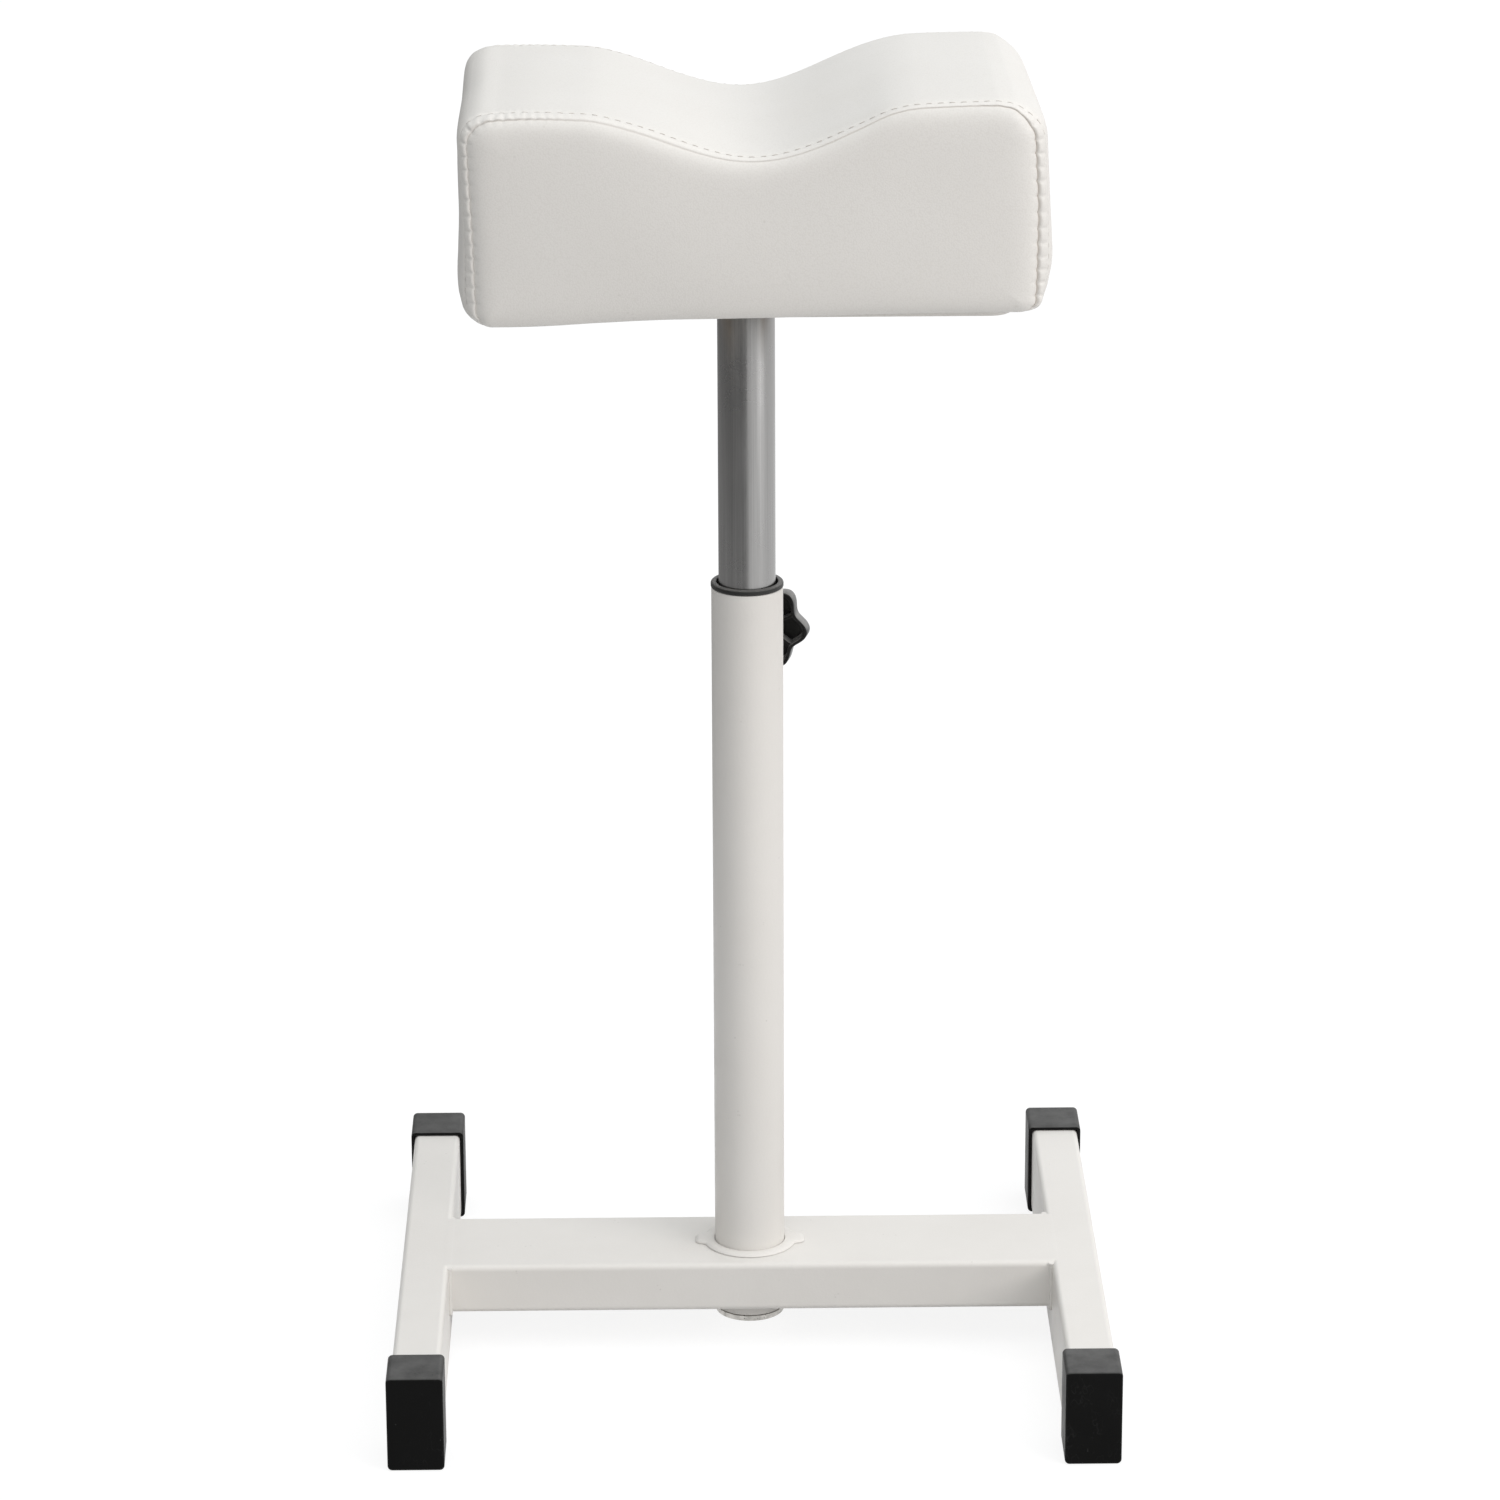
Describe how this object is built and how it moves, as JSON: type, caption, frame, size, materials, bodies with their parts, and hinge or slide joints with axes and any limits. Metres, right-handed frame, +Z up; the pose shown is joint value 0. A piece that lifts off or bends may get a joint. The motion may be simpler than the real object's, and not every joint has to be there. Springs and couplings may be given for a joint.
{
  "type": "pedicure footrest",
  "caption": "Padded saddle-shaped footrest on a telescoping round post with a star-knob clamp, standing on an H-shaped base of rectangular tube.",
  "frame": {"origin": "on the floor, on the axis of the post, at the centre of the base", "axes": "+Z up along the post; -Y is the front, which the picture shows, so the two legs run along Y; +X is the right-hand side seen from the front"},
  "size_m": [0.4044, 0.378, 0.742],
  "materials": {
    "white_coat": "satin",
    "black_plastic": "satin",
    "grey_plastic": "matte",
    "bare_steel": "satin",
    "zinc_steel": "satin",
    "brass": "satin",
    "black_coat": "satin",
    "plywood": "matte",
    "foam": "matte",
    "leatherette": "satin"
  },
  "bodies": {
    "base": {"left_leg_tube": "white_coat", "right_leg_tube": "white_coat", "crossbar_tube": "white_coat", "front_left_cap": "black_plastic", "front_right_cap": "black_plastic", "rear_left_cap": "black_plastic", "rear_right_cap": "black_plastic", "outer_post": "white_coat", "post_ring": "white_coat", "post_end_plug": "bare_steel", "collar_bush": "grey_plastic", "clamp_boss": "white_coat"},
    "clamp_tip": {"pressure_pad": "grey_plastic"},
    "knob": {"clamp_stud": "zinc_steel", "knob_insert": "brass", "clamp_knob": "black_plastic"},
    "slider": {"foot_sleeve": "grey_plastic"},
    "head": {"inner_tube": "bare_steel", "mount_plate": "black_coat", "mount_bolt_1": "zinc_steel", "mount_bolt_2": "zinc_steel", "mount_bolt_3": "zinc_steel", "mount_bolt_4": "zinc_steel", "mount_washer_1": "zinc_steel", "mount_washer_2": "zinc_steel", "mount_washer_3": "zinc_steel", "mount_washer_4": "zinc_steel", "tee_nut_1": "zinc_steel", "tee_nut_2": "zinc_steel", "tee_nut_3": "zinc_steel", "tee_nut_4": "zinc_steel", "pad_board": "plywood", "cushion_foam": "foam", "cushion_cover": "leatherette"}
  },
  "joints": [
    {"name": "clamp_travel", "type": "slide", "parent": "base", "child": "clamp_tip", "axis": [0.225, 0.9744, 0], "range_m": [0, 0.0025]},
    {"name": "clamp_turn", "type": "hinge", "parent": "clamp_tip", "child": "knob", "pos_m": [0, 0, 0.4105], "axis": [0.225, 0.9744, 0], "range_deg": [0, 720]},
    {"name": "height_slide", "type": "slide", "parent": "base", "child": "slider", "axis": [0, 0, 1], "range_m": [-0.155, 0.1]},
    {"name": "pad_swivel", "type": "hinge", "parent": "slider", "child": "head", "pos_m": [0, 0, 0.19], "axis": [0, 0, 1], "continuous": true}
  ],
  "couplings": [
    {"joint": "clamp_travel", "follows": "clamp_turn", "m_per_rad": 0.0001989}
  ]
}
